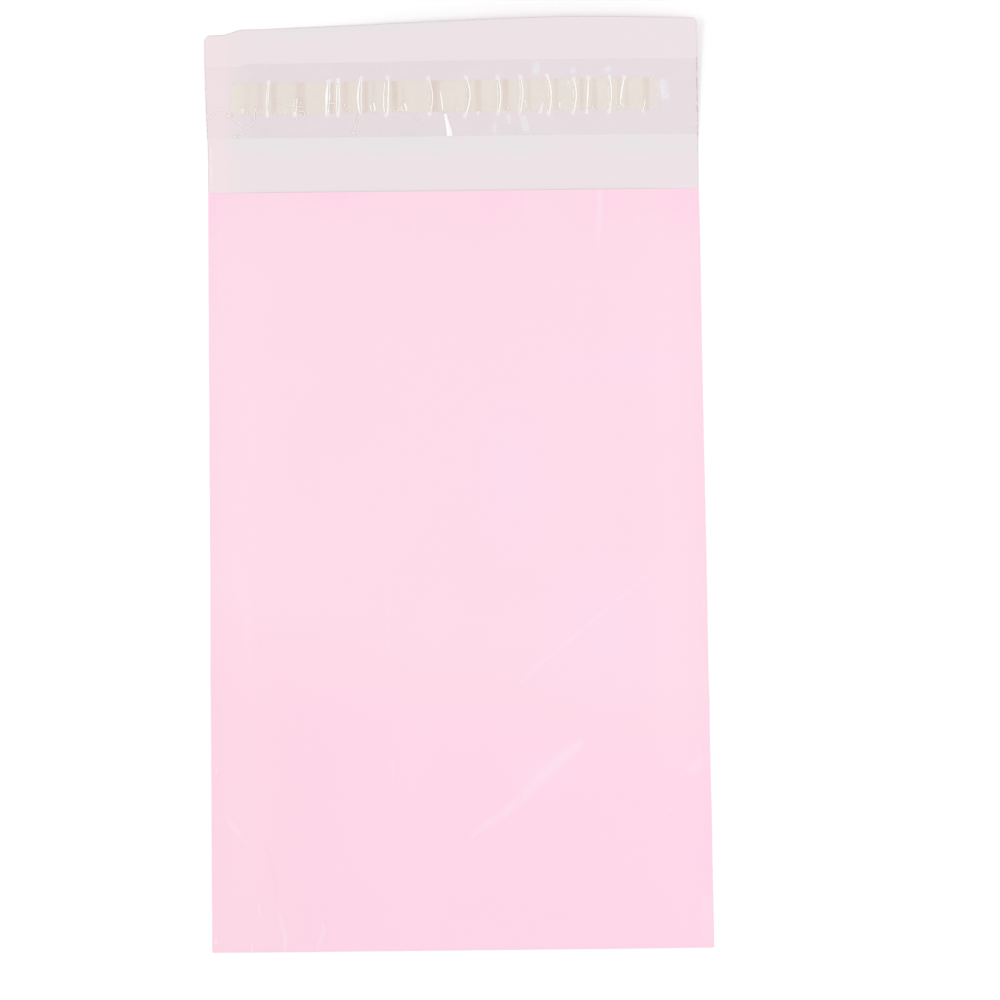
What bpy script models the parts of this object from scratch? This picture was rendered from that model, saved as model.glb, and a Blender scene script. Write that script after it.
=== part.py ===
"""A flat, empty poly mailer bag that lies on its back, with its lip laid open.

X runs across the bag, Y from the folded bottom towards the lip, and Z up out of the front panel. The origin
is on the surface that the bag lies on, under the middle of its outline. Lengths are in metres.
"""

import itertools
import math

import bmesh
import bpy

# The film web: one sheet, folded once at the bottom and fused to itself along both sides
BAG_WIDTH = 0.150
POCKET_LENGTH = 0.230
FILM_THICKNESS = 0.00006
WELD_WIDTH = 0.003

# The air between the two panels, at the fold, at the mouth and over the flat middle, and how fast it opens
FOLD_GAP = 0.0003
MOUTH_GAP = 0.0005
MIDDLE_GAP = 0.0014
SIDE_EASE = 0.018
FOLD_EASE = 0.024
MOUTH_EASE = 0.030
FOLD_ROUND = 0.0015

# The lip: the back panel's run past the mouth. Its cut edge falls away to both sides of its furthest point
LIP_LENGTH = 0.053
LIP_PEAK_FROM_RIGHT = 0.039
LIP_FALL_LEFT = 0.024
LIP_FALL_RIGHT = 0.016
LIP_PEAK_ROUNDING = 0.012

# The lip's free edge stands off the table in one long wave, highest where the lip is longest
LIP_LIFT = 0.004
LIP_WAVE = 0.200

# The strip of hot-melt glue on the lip, placed from the lip's furthest point and from each side
GLUE_FROM_EDGE = 0.0188
GLUE_WIDTH = 0.0097
GLUE_FROM_LEFT = 0.0070
GLUE_FROM_RIGHT = 0.0115
GLUE_THICKNESS = 0.00025
GLUE_CORNER = 0.0012

# The clear liner over the glue, as wide as the bag, and how far it reaches past the glue
LINER_ABOVE_GLUE = 0.0060
LINER_BELOW_GLUE = 0.0075
LINER_THICKNESS = 0.00005
LINER_EASE = 0.0016

# The glue has shrunk under the liner, which puckers. The steps from pucker to pucker repeat along the glue
PUCKER_STEPS = (
    *(0.0035, 0.0080, 0.0082, 0.0097, 0.0034, 0.0067, 0.0082, 0.0055, 0.0082, 0.0031),
    *(0.0084, 0.0094, 0.0067, 0.0087, 0.0082, 0.0034, 0.0072, 0.0033, 0.0068),
)
PUCKER_HEIGHT = 0.00055
PUCKER_HALF_WIDTH = 0.0012
PUCKER_TAIL = 0.0022

# Laminated pieces keep this far apart
SEAT_GAP = 0.0001

# The mesh's stations: the longest steps between them, the closest that two come, and the counts of even ones
FILM_STEP_X = 0.010
FILM_STEP_Y = 0.012
LIP_STEP_Y = 0.006
GLUE_STEP_X = 0.005
CLOSEST_STATIONS = 0.0003
EASE_STEPS = 4
FOLD_STEPS = 6
GLUE_STEPS = 4

HALF_WIDTH = BAG_WIDTH / 2
FOLD_Y = -(POCKET_LENGTH + LIP_LENGTH) / 2
MOUTH_Y = FOLD_Y + POCKET_LENGTH
LIP_PEAK_X = HALF_WIDTH - LIP_PEAK_FROM_RIGHT
GLUE_LEFT = -HALF_WIDTH + GLUE_FROM_LEFT
GLUE_RIGHT = HALF_WIDTH - GLUE_FROM_RIGHT
GLUE_TOP = MOUTH_Y + LIP_LENGTH - GLUE_FROM_EDGE
GLUE_BOTTOM = GLUE_TOP - GLUE_WIDTH

# Colours as they show on a screen, from 0 to 255
PINK = (254, 219, 234)
OFF_WHITE = (238, 229, 232)
CREAM = (232, 221, 211)
CLEAR = (233, 224, 230)


def clear_scene():
    for old in list(bpy.data.objects):
        bpy.data.objects.remove(old, do_unlink=True)


def linear(colour):
    """A screen colour as the linear values that a shader takes."""
    shares = [value / 255 for value in colour]
    return [s / 12.92 if s <= 0.04045 else ((s + 0.055) / 1.055) ** 2.4 for s in shares]


def plastic(name, colour, roughness, alpha=1.0):
    material = bpy.data.materials.new(name)
    material.use_nodes = True
    shader = material.node_tree.nodes["Principled BSDF"]
    shader.inputs["Base Color"].default_value = (*linear(colour), 1.0)
    shader.inputs["Roughness"].default_value = roughness
    shader.inputs["Metallic"].default_value = 0.0
    shader.inputs["Alpha"].default_value = alpha
    return material


def eased(share):
    """A smooth step from 0 to 1."""
    share = min(max(share, 0.0), 1.0)
    return share * share * (3 - 2 * share)


def evenly(start, end, steps):
    """Evenly spaced places from start to end, both included."""
    return [start + (end - start) * i / steps for i in range(steps + 1)]


def spread(start, end, longest_step):
    """Evenly spaced places from start to end, no further apart than longest_step."""
    return evenly(start, end, math.ceil(abs(end - start) / longest_step))


def stations(low, high, places):
    """low, the places between that don't crowd each other, and high."""
    kept = [low]
    for place in sorted(places):
        if place - kept[-1] > CLOSEST_STATIONS and high - place > CLOSEST_STATIONS:
            kept.append(place)
    return [*kept, high]


def pocket_gap(x, from_fold):
    """The air between the panels: none at the side welds, most over the flat middle."""
    from_weld = HALF_WIDTH - WELD_WIDTH - abs(x)
    to_mouth = POCKET_LENGTH - from_fold
    less_at_fold = (MIDDLE_GAP - FOLD_GAP) * (1 - eased(from_fold / FOLD_EASE))
    less_at_mouth = (MIDDLE_GAP - MOUTH_GAP) * (1 - eased(to_mouth / MOUTH_EASE))
    return eased(from_weld / SIDE_EASE) * (MIDDLE_GAP - less_at_fold - less_at_mouth)


def lip_length_at(x):
    """The lip's length from the mouth to its cut edge, which is rounded over at its furthest point."""
    lean = (LIP_FALL_RIGHT - LIP_FALL_LEFT) / 2
    bend = (LIP_FALL_RIGHT + LIP_FALL_LEFT) / 2
    aside = x - LIP_PEAK_X
    rounded = math.hypot(aside, LIP_PEAK_ROUNDING) - LIP_PEAK_ROUNDING
    return LIP_LENGTH - lean * aside - bend * rounded


def lip_lift(x, y):
    """How far the lip's underside stands off the table."""
    out = max(0.0, y - MOUTH_Y) / LIP_LENGTH
    wave = 0.5 + 0.5 * math.cos(2 * math.pi * (x - LIP_PEAK_X) / LIP_WAVE)
    return LIP_LIFT * out * out * wave


def lip_top(x, y):
    return lip_lift(x, y) + FILM_THICKNESS


def film_columns():
    """Places across the bag: both edges, both weld lines, the eased sides and the flat middle."""
    weld_line = HALF_WIDTH - WELD_WIDTH
    flat_side = weld_line - SIDE_EASE
    side = evenly(flat_side, weld_line, EASE_STEPS)
    middle = spread(-flat_side, flat_side, FILM_STEP_X)
    return stations(-HALF_WIDTH, HALF_WIDTH, [*middle, *side, *[-x for x in side]])


def pocket_rows():
    """Distances from the fold, from the mouth down to where the fold's round begins."""
    near_fold = evenly(FOLD_ROUND, FOLD_EASE, EASE_STEPS)
    middle = spread(FOLD_EASE, POCKET_LENGTH - MOUTH_EASE, FILM_STEP_Y)
    near_mouth = evenly(POCKET_LENGTH - MOUTH_EASE, POCKET_LENGTH, EASE_STEPS)
    return stations(FOLD_ROUND, POCKET_LENGTH, [*near_fold, *middle, *near_mouth])[::-1]


def web_section(x, lip_steps, rows):
    """The web's outer and inner points at x, in step with each other.

    They run from the lip's edge down the back, round the fold and up the front to the mouth.
    """
    outer, inner = [], []
    for along in evenly(lip_length_at(x), 0.0, lip_steps)[:-1]:
        y = MOUTH_Y + along
        outer.append((x, y, lip_lift(x, y)))
        inner.append((x, y, lip_top(x, y)))
    for from_fold in rows:
        y = FOLD_Y + from_fold
        outer.append((x, y, 0.0))
        inner.append((x, y, FILM_THICKNESS))
    inner_radius = pocket_gap(x, 0.0) / 2
    outer_radius = inner_radius + FILM_THICKNESS
    for turn in evenly(0.0, math.pi, FOLD_STEPS):
        for path, radius in ((outer, outer_radius), (inner, inner_radius)):
            y = FOLD_Y + outer_radius - radius * math.sin(turn)
            path.append((x, y, outer_radius - radius * math.cos(turn)))
    for from_fold in rows[::-1]:
        y = FOLD_Y + from_fold
        gap = pocket_gap(x, from_fold)
        outer.append((x, y, gap + 2 * FILM_THICKNESS))
        inner.append((x, y, gap + FILM_THICKNESS))
    return outer, inner


def make_mailer_film(outside, inside):
    """The folded web as one closed skin, with its pocket open at the mouth and its sides fused solid."""
    columns = film_columns()
    rows = pocket_rows()
    last = len(columns) - 1

    # Where the mouth, the fold's round and the front panel's edge come along a section
    mouth = math.ceil(LIP_LENGTH / LIP_STEP_Y)
    round_start = mouth + len(rows)
    round_end = round_start + FOLD_STEPS
    front_edge = round_end + len(rows)

    def across(k):
        """The place on the other panel that faces place k."""
        return front_edge - (k - mouth)

    mesh = bmesh.new()
    outer, inner = [], []
    for i, x in enumerate(columns):
        outer_points, inner_points = web_section(x, mouth, rows)
        outer.append([mesh.verts.new(point) for point in outer_points])
        on_edge = i in (0, last)
        on_weld_line = i in (1, last - 1)
        reach = mouth if on_edge else round_start if on_weld_line else front_edge
        line = [mesh.verts.new(point) for point in inner_points[: reach + 1]]
        if on_weld_line:
            line += [line[round_start]] * FOLD_STEPS
            line += [line[across(k)] for k in range(round_end + 1, front_edge + 1)]
        inner.append(line)

    def face(corners, slot=0):
        corners = list(dict.fromkeys(corners))
        if len(corners) > 2:
            mesh.faces.new(corners).material_index = slot

    for i in range(last):
        here, there = outer[i], outer[i + 1]
        lined, lined_there = inner[i], inner[i + 1]
        for k in range(front_edge):
            face((here[k], here[k + 1], there[k + 1], there[k]))
        face((here[0], there[0], lined_there[0], lined[0]))
        fused = i in (0, last - 1)
        lining_end = mouth if fused else front_edge
        for k in range(lining_end):
            face((lined[k], lined_there[k], lined_there[k + 1], lined[k + 1]), slot=1)
        face((here[front_edge], lined[lining_end], lined_there[lining_end], there[front_edge]))

    for i in (0, last):
        edge, lining = outer[i], inner[i]
        walls = [(edge[k], lining[k], lining[k + 1], edge[k + 1]) for k in range(mouth)]
        walls.append((edge[mouth], lining[mouth], edge[front_edge], edge[front_edge - 1], edge[mouth + 1]))
        for k in range(mouth + 1, round_start):
            walls.append((edge[k], edge[across(k)], edge[across(k + 1)], edge[k + 1]))
        walls.append(edge[round_start : round_end + 1])
        for wall in walls:
            face(wall)

    return finished("mailer_film", mesh, [outside, inside])


def make_plate(name, columns, rows_at, under, thickness, material):
    """A thin closed plate over the columns, with rows_at(x) in each, whose underside follows under(x, y)."""
    mesh = bmesh.new()
    low, high = [], []
    for x in columns:
        rows = rows_at(x)
        low.append([mesh.verts.new((x, y, under(x, y))) for y in rows])
        high.append([mesh.verts.new((x, y, under(x, y) + thickness)) for y in rows])
    wide, long = len(columns) - 1, len(rows) - 1
    for i, k in itertools.product(range(wide), range(long)):
        for grid in (low, high):
            mesh.faces.new((grid[i][k], grid[i + 1][k], grid[i + 1][k + 1], grid[i][k + 1]))
    for i, k in itertools.product(range(wide), (0, long)):
        mesh.faces.new((low[i][k], low[i + 1][k], high[i + 1][k], high[i][k]))
    for i, k in itertools.product((0, wide), range(long)):
        mesh.faces.new((low[i][k], low[i][k + 1], high[i][k + 1], high[i][k]))
    return finished(name, mesh, [material])


def glue_under(x, y):
    return lip_top(x, y) + SEAT_GAP


def make_adhesive_strip(material):
    """The glue: a low strip with clipped corners, laid on the lip."""

    def rows_at(x):
        clip = max(0.0, GLUE_CORNER - min(x - GLUE_LEFT, GLUE_RIGHT - x))
        return evenly(GLUE_BOTTOM + clip, GLUE_TOP - clip, GLUE_STEPS)

    between = spread(GLUE_LEFT + GLUE_CORNER, GLUE_RIGHT - GLUE_CORNER, GLUE_STEP_X)
    columns = [GLUE_LEFT, *between, GLUE_RIGHT]
    return make_plate("adhesive_strip", columns, rows_at, glue_under, GLUE_THICKNESS, material)


def over_glue(x, y, margin):
    """1 over the glue, easing to 0 at margin past its outline."""
    beyond_x = max(GLUE_LEFT - x, x - GLUE_RIGHT, 0.0)
    beyond_y = max(GLUE_BOTTOM - y, y - GLUE_TOP, 0.0)
    return (1 - eased(beyond_x / margin)) * (1 - eased(beyond_y / margin))


def pucker_places():
    """Places across the bag where the liner puckers, as far as the glue runs."""
    places = itertools.accumulate(itertools.cycle(PUCKER_STEPS), initial=GLUE_LEFT)
    next(places)
    return list(itertools.takewhile(lambda place: place < GLUE_RIGHT, places))


def make_release_liner(material):
    """The clear strip over the glue, flat at its margins and puckered over the glue."""
    puckers = pucker_places()

    def under(x, y):
        nearest = min(abs(x - place) for place in puckers)
        pucker = PUCKER_HEIGHT * (1 - eased(nearest / PUCKER_HALF_WIDTH)) * over_glue(x, y, PUCKER_TAIL)
        cover = (GLUE_THICKNESS + SEAT_GAP) * over_glue(x, y, LINER_EASE)
        return lip_top(x, y) + SEAT_GAP + cover + pucker

    columns = [GLUE_LEFT - LINER_EASE, GLUE_LEFT, GLUE_RIGHT, GLUE_RIGHT + LINER_EASE]
    columns += spread(-HALF_WIDTH, HALF_WIDTH, GLUE_STEP_X)
    for place in puckers:
        columns += evenly(place - PUCKER_HALF_WIDTH, place + PUCKER_HALF_WIDTH, EASE_STEPS)
    columns = stations(-HALF_WIDTH, HALF_WIDTH, columns)
    rows = evenly(GLUE_BOTTOM, GLUE_TOP, GLUE_STEPS // 2)
    for margin in (LINER_EASE, PUCKER_TAIL):
        rows += [GLUE_BOTTOM - margin, GLUE_TOP + margin]
    rows = stations(GLUE_BOTTOM - LINER_BELOW_GLUE, GLUE_TOP + LINER_ABOVE_GLUE, rows)
    return make_plate("release_liner", columns, lambda x: rows, under, LINER_THICKNESS, material)


def finished(name, mesh, materials):
    """The mesh as a named object, with its faces turned outwards and its gentle bends shaded smooth."""
    bmesh.ops.recalc_face_normals(mesh, faces=mesh.faces)
    data = bpy.data.meshes.new(name)
    mesh.to_mesh(data)
    mesh.free()
    for material in materials:
        data.materials.append(material)
    data.shade_smooth()
    data.set_sharp_from_angle(angle=math.radians(30))
    made = bpy.data.objects.new(name, data)
    bpy.context.scene.collection.objects.link(made)
    return made


def main():
    clear_scene()
    make_mailer_film(plastic("film, pink side", PINK, 0.32), plastic("film, off-white side", OFF_WHITE, 0.38))
    make_adhesive_strip(plastic("cream glue", CREAM, 0.45))
    make_release_liner(plastic("clear film", CLEAR, 0.12, alpha=0.4))


main()
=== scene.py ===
"""A flat, empty poly mailer bag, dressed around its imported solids.

X runs across the bag, Y from the folded bottom to the lip, and Z up out of the front panel, in metres.
Each sheet of film is grown by Geometry Nodes from the lines of its own creases or puckers.
"""

import math
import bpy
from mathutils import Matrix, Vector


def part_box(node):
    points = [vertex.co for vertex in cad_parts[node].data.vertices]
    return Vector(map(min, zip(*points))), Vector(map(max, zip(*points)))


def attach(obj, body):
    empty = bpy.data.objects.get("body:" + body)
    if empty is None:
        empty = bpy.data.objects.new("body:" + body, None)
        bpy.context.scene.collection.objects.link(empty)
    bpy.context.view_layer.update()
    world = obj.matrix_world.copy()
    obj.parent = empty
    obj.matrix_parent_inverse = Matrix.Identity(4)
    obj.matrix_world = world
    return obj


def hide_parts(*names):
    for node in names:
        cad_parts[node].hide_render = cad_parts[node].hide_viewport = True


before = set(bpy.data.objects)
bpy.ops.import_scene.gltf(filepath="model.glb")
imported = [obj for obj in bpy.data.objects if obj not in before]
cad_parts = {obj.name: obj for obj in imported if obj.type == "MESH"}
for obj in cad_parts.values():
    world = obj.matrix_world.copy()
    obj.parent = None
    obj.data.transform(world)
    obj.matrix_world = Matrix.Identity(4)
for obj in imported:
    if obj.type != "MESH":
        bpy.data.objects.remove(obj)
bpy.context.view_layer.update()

from types import SimpleNamespace

import bpy
from mathutils import Matrix, Vector

bl_info = {
    "name": "Poly Mailer Bag",
    "version": (1, 0, 0),
    "blender": (4, 5, 0),
    "location": "3D View > Sidebar > Mailer",
    "description": "Makes a flat poly mailer bag and the stage that it lies on",
    "category": "Object",
}

FILM_LOW, FILM_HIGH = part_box("mailer_film")
GLUE_LOW, GLUE_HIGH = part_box("adhesive_strip")
LINER_LOW, LINER_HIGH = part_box("release_liner")
MM = 0.001
LIP_LENGTH = 53 * MM

# The glue runs out thin at its right end, and the liner is cut lower over its left end
THIN_GLUE = 3.2 * MM
LINER_STEP = 0.95 * MM
LINER_STEP_FROM_LEFT = 9.6 * MM

# Puckers fade over their tails and end in a white painted highlight. A flank narrower than the least one
# rises as if it had that width, and shines only from the least glint on
PUCKER_TAIL = 0.9 * MM
SWELL_TAIL = 1.8 * MM
END_BLOOM = 1.2 * MM
LEAST_FLANK = 0.34 * MM
LEAST_GLINT = 0.04 * MM

# Strings and drops of glue on the liner, and the specks of melted film along its ends
STRING_HEIGHT, STRING_STRAY = 0.12 * MM, 0.35 * MM
DROP_HEIGHT, DROP_RADIUS = 0.08 * MM, 0.25 * MM
SPECK_HEIGHT, SPECK_RADIUS, SPECK_STRAY = 0.1 * MM, 0.16 * MM, 0.25 * MM

# How fast the air between the panels opens from each side weld, the fold and the mouth
SIDE_EASE = 18 * MM
FOLD_EASE = 24 * MM
MOUTH_EASE = 30 * MM
LEAST_GAP = 0.01 * MM

# The lip's cut edge falls away to both sides of its furthest point, and the lip rises in one long wave
LIP_PEAK_FROM_RIGHT = 39 * MM
LIP_FALL_LEFT = 0.024
LIP_FALL_RIGHT = 0.016
LIP_PEAK_ROUNDING = 12 * MM
LIP_WAVE = 200 * MM
LIP_RIPPLE = 0.35 * MM
LIP_UNEVENNESS = 0.18 * MM
LEFT_CORNER_DROOP = 1.5 * MM
LEFT_CORNER_FROM, LEFT_CORNER_EASE = 4.5 * MM, 6.5 * MM
LEFT_CORNER_RADIUS = 1.3 * MM
RIGHT_CORNER_RADIUS = 0.6 * MM

# The lip's left side flares out above a height, both sides are a little uneven, and the fold lies aslant
LEFT_FLARE = 0.9 * MM
FLARE_FROM, FLARE_EASE, FLARE_REACH = 8 * MM, 30 * MM, 14 * MM
SIDE_UNEVENNESS = 0.22 * MM
SIDE_UNEVEN_REACH = 5 * MM
FOLD_SLANT = 0.005

# Steps of the sheets' meshes. The panels have the same rows, so that their inner faces meet at the side welds
FILM_COLUMNS = 140
LIP_ROWS = 36
BACK_ROWS = 140
FOLD_ROWS = 8
FRONT_ROWS = BACK_ROWS
LINER_COLUMNS = 1000
LINER_ROWS = 46
GLUE_COLUMNS = 260
GLUE_ROWS = 22
LINE_STEP = 0.3 * MM
LEAST_CREASE_REACH = 1.3
MERGE_DISTANCE = 1e-6

# Puckers of the liner, in mm: x at the low end, middle and high end, the heights of both ends above the
# mouth, half the pucker's width, and how wide its left and right flanks shine. The last one is a wedge
PUCKERS = (
    (-64.7, -64.7, -64.5, 24.1, 27.0, 0.42, 0.22, 0.30),
    (-61.4, -61.4, -61.3, 23.4, 26.0, 0.25, 0.12, 0.16),
    (-59.9, -59.9, -59.8, 24.4, 25.7, 0.00, 0.34, 0.34),
    (-56.9, -56.9, -56.4, 23.9, 34.4, 0.26, 0.34, 0.26),
    (-54.7, -54.7, -54.7, 24.1, 25.3, 0.00, 0.28, 0.28),
    (-48.5, -48.3, -48.0, 24.0, 29.8, 0.40, 0.20, 0.26),
    (-48.0, -48.0, -48.0, 33.4, 34.5, 0.00, 0.24, 0.24),
    (-38.6, -38.2, -38.0, 24.0, 34.2, 0.46, 0.90, 0.26),
    (-35.3, -35.2, -35.1, 23.8, 34.8, 0.42, 0.40, 0.42),
    (-28.3, -28.6, -28.1, 24.0, 35.0, 0.48, 0.62, 0.30),
    (-24.4, -24.6, -25.0, 24.4, 27.9, 0.62, 0.22, 0.48),
    (-20.5, -20.5, -20.0, 23.5, 35.3, 0.74, 0.34, 0.44),
    (-17.6, -17.7, -17.8, 24.1, 25.6, 0.00, 0.26, 0.26),
    (-14.6, -15.0, -15.6, 24.3, 27.6, 0.62, 0.20, 0.60),
    (-7.2, -6.7, -7.5, 23.7, 35.0, 0.50, 0.14, 0.34),
    (-3.1, -3.4, -4.0, 24.4, 31.4, 0.00, 0.46, 0.46),
    (3.6, 4.8, 4.0, 23.1, 35.1, 0.52, 0.12, 0.44),
    (7.6, 7.6, 7.6, 22.9, 24.9, 0.00, 0.34, 0.34),
    (7.4, 7.4, 7.3, 33.4, 34.5, 0.00, 0.22, 0.22),
    (13.8, 14.3, 13.8, 23.9, 34.9, 0.44, 0.20, 0.38),
    (20.5, 21.1, 20.8, 23.9, 35.0, 0.42, 0.24, 0.38),
    (22.8, 22.4, 22.2, 24.8, 28.6, 0.00, 0.20, 0.20),
    (26.8, 27.3, 27.6, 24.2, 27.8, 0.24, 0.16, 0.22),
    (29.3, 29.8, 28.9, 23.4, 35.3, 0.44, 0.12, 0.44),
    (32.8, 32.8, 32.8, 24.9, 27.7, 0.00, 0.34, 0.34),
    (36.8, 37.5, 37.0, 23.9, 34.3, 0.42, 0.16, 0.42),
    (35.3, 35.5, 35.5, 32.1, 33.9, 0.00, 0.26, 0.26),
    (41.0, 41.4, 41.6, 23.8, 34.4, 0.00, 0.56, 0.56),
    (43.2, 42.8, 42.6, 24.4, 26.4, 0.00, 0.22, 0.22),
    (47.8, 48.3, 47.9, 23.9, 35.3, 0.42, 0.12, 0.40),
    (51.3, 51.8, 52.7, 25.4, 34.5, 0.00, 0.60, 0.60),
    (52.6, 52.1, 51.6, 24.9, 27.2, 0.00, 0.20, 0.20),
    (58.2, 58.8, 58.9, 24.1, 28.3, 0.00, 0.30, 0.30),
    (56.8, 56.8, 56.8, 33.5, 34.5, 0.00, 0.20, 0.20),
    (59.4, 59.4, 59.4, 33.5, 34.5, 0.00, 0.20, 0.20),
    (-1.0, -1.7, -2.7, 16.0, 24.3, 0.00, 2.10, 2.10),
)
# Soft low swells of the loose liner, painted paler as a highlight: x and height of both ends, and the reach
SWELLS = (
    (65.2, 26.6, 64.4, 34.8, 3.4),
    (25.4, 34.6, 25.9, 40.2, 2.6),
    (36.8, 34.8, 37.1, 38.4, 2.1),
    (47.8, 35.0, 48.0, 38.8, 2.6),
    (17.2, 19.6, 17.0, 24.4, 1.3),
    (12.6, 16.6, 12.9, 21.8, 1.3),
    (22.7, 17.2, 21.2, 24.0, 2.4),
)
# Bare patches across the glue, where the liner has lifted: x in mm, reach in mm and depth of tone
GLUE_PATCHES = (
    (-63.0, 1.2, 0.4), (-59.1, 1.0, 0.4), (-54.9, 1.0, 1.0), (-46.6, 1.7, 1.1), (-37.3, 1.0, 1.1),
    (-33.0, 1.1, 0.7), (-26.7, 0.9, 1.1), (-24.2, 0.7, 0.4), (-17.8, 1.2, 1.1), (-15.3, 0.7, 0.4),
    (-5.4, 1.6, 1.2), (4.6, 0.9, 0.5), (7.8, 1.3, 1.1), (13.9, 0.6, 0.4), (16.2, 1.2, 1.0),
    (23.2, 0.9, 0.6), (31.7, 0.9, 0.6), (39.6, 0.7, 0.8), (43.4, 1.1, 0.9), (51.0, 0.8, 0.7),
    (53.4, 0.8, 0.6), (59.3, 1.4, 1.0),
)
# Creases of the front panel, in mm: points x, y from the fold, then the reach at both ends, the rise,
# and the shine: a painted highlight along the crease above 0, and painted shade in it below
CREASES = (
    (((-59.2, 33.3), (-57.7, 29.4), (-56.9, 24.9), (-56.0, 20.8), (-55.7, 15.6)), 0.8, 1.0, -0.12, -0.6),
    (((-55.1, 12.2), (-54.0, 8.0), (-53.4, 5.0), (-53.3, 0.8)), 1.3, 1.5, 0.14, 0.55),
    (((-42.0, 8.7), (-41.9, 6.3), (-42.9, 3.4), (-43.9, 0.6)), 0.9, 1.1, 0.12, 0.5),
    (((-61.1, 14.9), (-60.9, 13.0), (-60.8, 11.0)), 1.0, 1.0, 0.10, 0.5),
    (((-63.0, 3.4), (-63.3, 0.6)), 0.9, 1.2, 0.14, 0.8),
    (((-73.4, 5.4), (-73.9, 3.6), (-74.2, 1.5)), 0.7, 0.8, 0.18, 1.0),
    (((-73.2, 5.2), (-72.8, 3.8), (-72.5, 2.3)), 0.7, 0.8, 0.18, 0.9),
    (((-73.1, 56.0), (-73.5, 54.2), (-73.8, 52.2)), 0.8, 0.9, 0.16, 1.0),
    (((-73.5, 49.8), (-73.2, 48.0)), 0.6, 0.6, 0.10, 0.6),
    (((-71.8, 41.8), (-69.4, 38.8), (-66.4, 34.8), (-64.3, 32.4)), 1.2, 1.6, 0.10, 0.4),
    (((-74.0, 42.0), (-73.9, 38.0), (-74.0, 34.6)), 0.9, 0.9, -0.10, -0.8),
    (((61.8, 115.5), (54.8, 109.9), (48.4, 104.5), (42.6, 100.0), (34.9, 93.5), (25.2, 86.1), (17.5, 79.0)),
     0.8, 1.0, 0.10, 0.42),
    (((36.0, 61.4), (29.9, 56.9), (24.1, 51.6), (19.2, 46.0), (11.6, 39.8), (5.6, 36.0), (2.2, 33.4)),
     4.6, 1.0, 0.18, 0.44),
    (((73.6, 57.5), (71.0, 54.0), (66.4, 51.4)), 3.4, 2.4, 0.12, 0.36),
    (((73.6, 17.0), (74.2, 9.0), (74.0, 1.0)), 6.0, 7.5, 0.10, 0.42),
    (((62.7, 41.7), (62.7, 40.9)), 0.8, 0.8, 0.10, 0.8),
    (((44.6, 229.9), (44.4, 222.0), (43.7, 213.8)), 2.6, 1.4, 0.16, 0.6),
    (((-12.4, 220.0), (-12.4, 215.7)), 0.7, 0.7, 0.08, 0.4),
    (((-21.1, 171.6), (-21.3, 144.0), (-21.6, 117.0), (-21.5, 89.7)), 1.2, 1.2, 0.10, 0.14),
    (((-20.8, 56.7), (-20.4, 50.7)), 0.8, 0.8, 0.08, 0.35),
    (((-66.0, 120.0), (-62.5, 96.0), (-61.0, 78.0)), 3.0, 3.4, 0.14, 0.06),
)
# Soft zones of the front panel that catch the light, in mm: middle x, y from the fold, half the width
# and half the height
LIGHT_ZONES = (
    (16.6, 141.0, 17.0, 36.0),
    (43.0, 97.0, 31.0, 34.0),
    (25.0, 52.0, 15.0, 11.0),
    (50.0, 176.0, 36.0, 7.0),
)
# Strings of glue on the liner, as points x, y above the mouth, with their radius, in mm
STRINGS = (
    (((-76.0, 23.7), (-74.0, 23.7), (-72.7, 25.5), (-70.6, 26.1), (-68.6, 24.9), (-68.1, 23.9), (-69.1, 24.3),
      (-68.6, 23.7), (-66.8, 22.8), (-65.2, 21.5), (-64.0, 21.1)), 0.15),
    (((-60.0, 26.9), (-60.8, 24.8), (-61.1, 22.2), (-62.6, 20.6), (-64.2, 19.3), (-65.7, 19.0), (-67.0, 17.3),
      (-65.7, 18.1), (-64.2, 18.5)), 0.15),
    (((-48.0, 23.2), (-47.4, 22.3), (-46.1, 22.8), (-45.3, 23.8), (-45.8, 24.9), (-47.4, 25.2)), 0.13),
    (((-54.6, 28.2), (-50.2, 27.1), (-45.5, 26.5)), 0.10),
    (((-27.9, 24.7), (-29.2, 22.8), (-29.8, 20.8), (-30.6, 18.9), (-30.8, 18.2), (-29.5, 18.4),
      (-28.8, 17.3)), 0.15),
    (((-38.5, 27.7), (-36.2, 27.4), (-33.6, 26.6)), 0.11),
    (((-12.9, 23.7), (-10.4, 21.5), (-8.0, 20.2)), 0.09),
)
# Small drops of glue on the liner, as x and height above the mouth, in mm
DROPS = (
    (-62.9, 25.0), (-54.6, 24.4), (-46.6, 28.0), (-37.1, 27.5), (-36.3, 27.3), (-33.2, 26.9), (-32.4, 25.6),
    (-31.7, 25.1), (-25.9, 24.6), (-17.4, 23.8), (-16.8, 25.2), (-9.9, 23.4), (-5.4, 24.9), (1.2, 25.0),
    (8.1, 24.2), (16.8, 25.4), (21.9, 27.2), (22.9, 25.6), (23.1, 24.6), (26.2, 24.6), (27.0, 26.9),
    (31.9, 25.3), (34.0, 25.2), (42.9, 25.8), (43.3, 24.9), (49.3, 27.8), (50.1, 26.6), (50.9, 25.2),
    (53.4, 25.4), (54.0, 26.1), (58.4, 24.6), (60.4, 24.9), (60.8, 33.6), (-51.3, 24.8), (-44.5, 24.2),
)


def linear(*screen):
    """A screen colour, from 0 to 255, as the linear values that a shader takes."""
    shares = [value / 255 for value in screen]
    return tuple(s / 12.92 if s <= 0.04045 else ((s + 0.055) / 1.055) ** 2.4 for s in shares)


def length(name, description, default):
    return bpy.props.FloatProperty(
        name=name,
        description=description,
        default=default,
        min=0.0,
        precision=5,
        unit="LENGTH",
        subtype="DISTANCE",
    )


def colour(name, description, *screen):
    return bpy.props.FloatVectorProperty(
        name=name,
        description=description,
        default=linear(*screen),
        size=3,
        min=0.0,
        max=1.0,
        subtype="COLOR",
    )


def power(name, description, default):
    return bpy.props.FloatProperty(name=name, description=description, default=default, min=0.0, unit="POWER")


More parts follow.
